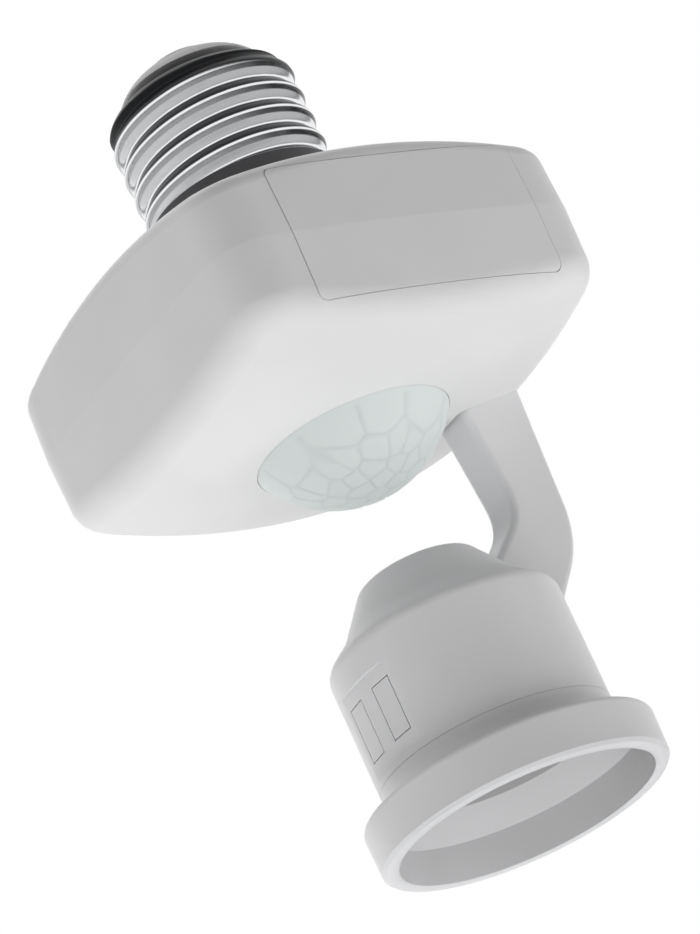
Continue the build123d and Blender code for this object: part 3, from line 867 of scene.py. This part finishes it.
@dataclass
class LensDome:
    """A thin dome creased into cells: small ones round its pole and large ones at its rim."""

    rim_r: float = 13.4 * MM
    drop: float = 8.0 * MM
    rim_z: float = 55.491 * MM
    wall: float = 1.1 * MM
    seat_z: float = 57.7 * MM
    flange: float = 0.8 * MM
    flange_h: float = 1.0 * MM
    rings: tuple[tuple[float, int, float], ...] = (
        (0.0, 1, 0.0),
        (11.5, 6, 0.2),
        (22.5, 12, 0.0),
        (33.5, 17, 0.5),
        (50.0, 10, 0.1),
    )
    crease: float = 0.16 * MM
    soft: float = 0.3
    rim_fade: float = 0.06
    turn_drift: float = 0.13
    lean_drift: float = 1.1
    rows: int = 120
    columns: int = 320

    def ball(self) -> tuple[float, float]:
        """Radius of the dome's ball and the height of its centre."""
        radius = (self.rim_r**2 + self.drop**2) / (2 * self.drop)
        return radius, self.rim_z - self.drop + radius

    def seeds(self) -> np.ndarray:
        """Directions of the cells' middles, from the ball's centre."""
        rows = []
        for tilt, count, shift in self.rings:
            for step in range(count):
                turn = 2 * math.pi * (step + shift) / count + self.turn_drift * math.sin(step * 2.3)
                drift = self.lean_drift * math.sin(step * 3.7 + tilt) * (count > 1)
                lean = math.radians(tilt + drift)
                side = math.sin(lean)
                rows.append((side * math.cos(turn), side * math.sin(turn), -math.cos(lean)))
        return np.array(rows)

    def creases(self, away: np.ndarray) -> np.ndarray:
        """How near each direction is to a border between cells, fading out at the rim.

        Args:
            away: Directions from the ball's centre, one in a row.

        Returns:
            1 on a border and 0 inside a cell.
        """
        apart = np.linalg.norm(away[:, None, :] - self.seeds()[None, :, :], axis=2)
        apart.sort(axis=1)
        inside = (apart[:, 1] - apart[:, 0]) / (apart[:, 0] + apart[:, 1])
        lean = np.arccos(np.clip(-away[:, 2], -1, 1)) / math.asin(self.rim_r / self.ball()[0])
        fade = np.clip((1 - lean) / self.rim_fade, 0, 1)
        return (1 - np.clip(inside / self.soft, 0, 1)) ** 2 * fade

    def mesh(self, name: str) -> bpy.types.Mesh:
        """Builds the dome, its skirt and its flange as one closed shell.

        Args:
            name: The mesh's name.

        Returns:
            The mesh, with an attribute that marks its creases.
        """
        radius, centre = self.ball()
        turns = np.linspace(0, 2 * math.pi, self.columns, endpoint=False)
        tilts = np.linspace(0, math.asin(self.rim_r / radius), self.rows)
        away = np.array(
            [
                (math.sin(lean) * math.cos(turn), math.sin(lean) * math.sin(turn), -math.cos(lean))
                for lean in tilts
                for turn in turns
            ]
        )
        marks = self.creases(away)
        shell = away * (radius - self.crease * marks)[:, None] + np.array([0, 0, centre])
        flange_r = self.rim_r + self.flange
        top = self.seat_z + self.flange_h
        inner = radius - self.wall
        last = math.acos((centre - top) / inner)
        skirt = [(self.rim_r, self.seat_z), (flange_r, self.seat_z), (flange_r, top)]
        skirt += [
            (inner * math.sin(lean), centre - inner * math.cos(lean))
            for lean in np.linspace(last, 0, self.rows // 3)
        ]

        def point(row: int, column: int) -> Vector:
            """Place of a row and a column."""
            if row < self.rows:
                return Vector(shell[row * self.columns + column])
            reach, height = skirt[row - self.rows]
            turn = turns[column]
            return Vector((reach * math.cos(turn), reach * math.sin(turn), height))

        mesh = turned_mesh(name, self.rows + len(skirt), self.columns, point)
        places = np.array([v.co for v in mesh.vertices]) - np.array([0, 0, centre])
        reach = np.linalg.norm(places, axis=1)
        below_rim = places[:, 2] < self.rim_z - centre + 1e-5
        outside = (reach > radius - self.crease * 1.5) & below_rim
        tone = np.where(outside, self.creases(places / reach[:, None]), 0.0)
        attribute = mesh.attributes.new("crease", "FLOAT", "POINT")
        attribute.data.foreach_set("value", tone.astype(np.float32))
        return mesh


@dataclass
class Housing(SubAssembly):
    """The two housing shells, the bare panel and the lens."""

    dome: LensDome = field(default_factory=LensDome)

    def build(self) -> None:
        """Builds the group's pieces."""
        white = MouldedPlastic("housing white", (0.80, 0.80, 0.80)).material()
        for node in ("upper_shell", "lower_shell", "front_panel"):
            self.skin(node, white)
        lens = mesh_piece("lens_cells", self.dome.mesh("lens_cells"))
        milky = MilkyLens("milky lens", (0.70, 0.75, 0.74), (0.55, 0.61, 0.60)).material()
        self.settle(lens, milky, self.body, "lens")


@dataclass
class LampSocket(SubAssembly):
    """The arm with its casing, the collar, and the contacts inside the mouth."""

    def build(self) -> None:
        """Builds the group's pieces."""
        white = MouldedPlastic("socket white", (0.79, 0.79, 0.80), roughness=0.36).material()
        for node in ("socket_casing", "socket_collar"):
            self.skin(node, white)
        self.skin("socket_base", MouldedPlastic("base white", (0.74, 0.74, 0.73), 0.5).material())
        nickel = PlatedMetal(
            "shell nickel", (0.72, 0.71, 0.69), (0.45, 0.43, 0.40), 0.16, 0.34
        ).material()
        self.skin("lamp_thread_shell", nickel)
        brass = PlatedMetal(
            "spring brass", (0.72, 0.53, 0.25), (0.42, 0.28, 0.12), 0.2, 0.4
        ).material()
        for node in ("contact_tongue", "centre_terminal", "shell_terminal", "shell_rivet"):
            self.skin(node, brass)


@dataclass
class InnerParts(SubAssembly):
    """The board with its components, the ring, the screws and the wires."""

    def build(self) -> None:
        """Builds the group's pieces."""
        finishes = {
            PlainBody("ring plastic", (0.78, 0.78, 0.78)): ("lens_ring", "trimmer_rotor"),
            PlainBody("board green", (0.05, 0.22, 0.09), 0.45): ("circuit_board",),
            PlainBody("zinc screw", (0.62, 0.62, 0.64), 0.35, 1.0): ("board_screws", "arm_screws"),
            PlainBody("drawn can", (0.66, 0.66, 0.68), 0.3, 1.0): ("motion_sensor",),
            PlainBody("dark body", (0.02, 0.02, 0.022), 0.4): (
                "light_sensor",
                "relay",
                "electrolytic_capacitor",
                "control_chip",
                "rectifier",
            ),
            PlainBody("film body", (0.50, 0.28, 0.05), 0.35): ("film_capacitor",),
            PlainBody("blue body", (0.03, 0.10, 0.34), 0.4): ("trimmer_body",),
            PlainBody("brown sleeve", (0.12, 0.05, 0.02), 0.4): (
                "live_supply_wire",
                "live_lamp_wire",
            ),
            PlainBody("blue sleeve", (0.02, 0.07, 0.30), 0.4): (
                "neutral_supply_wire",
                "neutral_lamp_wire",
            ),
        }
        for finish, nodes in finishes.items():
            material = finish.material()
            for node in nodes:
                self.skin(node, material)


# Studio.


@dataclass(frozen=True)
class PhotoCamera:
    """The camera of the photograph, from a fit to the object's circles and corners."""

    azimuth: float = -39.557
    elevation: float = -20.561
    roll: float = -24.745
    distance: float = 0.675286
    pixels_per_metre: float = 7734.0
    aim_height: float = 0.065
    aim_pixel: tuple[float, float] = (325.007, 378.507)
    image: tuple[int, int] = (700, 934)

    def build(self) -> bpy.types.Object:
        """Makes the camera and returns it."""
        a, e, r = (math.radians(x) for x in (self.azimuth, self.elevation, self.roll))
        back = Vector((math.sin(a) * math.cos(e), -math.cos(a) * math.cos(e), math.sin(e)))
        level = Vector((math.cos(a), math.sin(a), 0.0))
        rise = back.cross(level)
        right = math.cos(r) * level + math.sin(r) * rise
        up = -math.sin(r) * level + math.cos(r) * rise
        off_x = (self.aim_pixel[0] - self.image[0] / 2) / self.pixels_per_metre
        off_y = (self.image[1] / 2 - self.aim_pixel[1]) / self.pixels_per_metre
        data = bpy.data.cameras.new("photo_camera")
        data.sensor_width = 36.0
        data.lens = self.pixels_per_metre * self.distance * data.sensor_width / max(self.image)
        data.clip_start, data.clip_end = 0.01, 20.0
        camera = bpy.data.objects.new("photo_camera", data)
        place = Vector((0, 0, self.aim_height)) + back * self.distance - right * off_x - up * off_y
        turn = Matrix((right, up, back)).transposed().to_4x4()
        camera.matrix_world = Matrix.Translation(place) @ turn
        bpy.context.scene.collection.objects.link(camera)
        bpy.context.scene.camera = camera
        return camera


@dataclass(frozen=True)
class Softbox:
    """A round lamp that faces the object and stays out of reflections."""

    name: str
    azimuth: float
    elevation: float
    watts: float
    distance: float = 0.9
    width: float = 0.8

    def build(self, aim: Vector) -> None:
        """Makes the lamp.

        Args:
            aim: The point that it faces.
        """
        a, e = math.radians(self.azimuth), math.radians(self.elevation)
        away = Vector((math.sin(a) * math.cos(e), -math.cos(a) * math.cos(e), math.sin(e)))
        data = bpy.data.lights.new(self.name, "AREA")
        data.shape = "DISK"
        data.size = self.width
        data.energy = self.watts
        lamp = bpy.data.objects.new(self.name, data)
        lamp.location = aim + away * self.distance
        lamp.visible_glossy = False
        lamp.rotation_mode = "QUATERNION"
        lamp.rotation_quaternion = away.to_track_quat("Z", "Y")
        bpy.context.scene.collection.objects.link(lamp)


@dataclass
class Studio:
    """A plain white room with soft lamps and a pale floor that is open from below."""

    ambient: float = 0.08
    floor_tone: float = 0.80
    floor_half: float = 3.0
    floor_drop: float = 0.2 * MM
    aim: Vector = field(default_factory=lambda: Vector((0.0, 0.0, 0.06)))
    lamps: tuple[Softbox, ...] = (
        Softbox("lamp_below", -40.0, -60.0, 4.7),
        Softbox("lamp_right", 60.0, -20.0, 3.6),
        Softbox("lamp_back", 180.0, 0.0, 4.0),
        Softbox("lamp_top_left", -120.0, 45.0, 2.2),
        Softbox("lamp_top", 150.0, 72.0, 4.6),
    )

    def world(self) -> None:
        """White to the camera and in reflections, weaker as light."""
        world = bpy.data.worlds.new("white_room")
        world.use_nodes = True
        bpy.context.scene.world = world
        tree = world.node_tree
        tree.nodes.clear()
        rays = tree.nodes.new("ShaderNodeLightPath")
        seen = Value(tree, rays.outputs["Is Camera Ray"])
        for kind in ("Is Glossy Ray", "Is Transmission Ray"):
            seen = seen + Value(tree, rays.outputs[kind])
        strength = seen.smooth_step(0.0, 1.0) * (1 - self.ambient) + self.ambient
        background = tree.nodes.new("ShaderNodeBackground")
        plug(tree, background.inputs["Color"], (1.0, 1.0, 1.0))
        plug(tree, background.inputs["Strength"], strength)
        output = tree.nodes.new("ShaderNodeOutputWorld")
        tree.links.new(background.outputs[0], output.inputs[0])

    def floor(self) -> None:
        """A pale floor under the rim, clear from below and to the light of the lamp below it."""
        half = self.floor_half
        mesh = bpy.data.meshes.new("floor")
        drop = -self.floor_drop
        spots = [(-half, -half, drop), (half, -half, drop), (half, half, drop), (-half, half, drop)]
        mesh.from_pydata([Vector(spot) for spot in spots], [], [(0, 1, 2, 3)])
        floor = mesh_piece("floor", mesh)
        graph = Graph("floor white")
        graph.set(Base_Color=(self.floor_tone,) * 3, Roughness=0.9)
        back = graph.node("ShaderNodeNewGeometry", "Backfacing")
        shadow = graph.node("ShaderNodeLightPath", "Is Shadow Ray")
        clear = graph.tree.nodes.new("ShaderNodeBsdfTransparent")
        mixer = graph.tree.nodes.new("ShaderNodeMixShader")
        output = graph.tree.nodes["Material Output"]
        plug(graph.tree, mixer.inputs[0], (back + shadow).smooth_step(0.0, 1.0))
        graph.tree.links.new(graph.shader.outputs[0], mixer.inputs[1])
        graph.tree.links.new(clear.outputs[0], mixer.inputs[2])
        graph.tree.links.new(mixer.outputs[0], output.inputs[0])
        dress(floor, graph.material)

    def build(self) -> None:
        """Makes the room, its lamps and the camera."""
        self.world()
        self.floor()
        for lamp in self.lamps:
            lamp.build(self.aim)
        PhotoCamera().build()
        bpy.context.scene.view_settings.view_transform = "Standard"


# Main.


def main() -> None:
    """Builds every group in order."""
    logging.basicConfig(level=logging.INFO, format="%(name)s: %(message)s")
    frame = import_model()
    Studio().build()
    for group in (ScrewCap(frame), Housing(frame), LampSocket(frame), InnerParts(frame)):
        group.build()
        LOG.info("%s: %s", type(group).__name__, ", ".join(group.made))


if __name__ == "__main__":
    main()
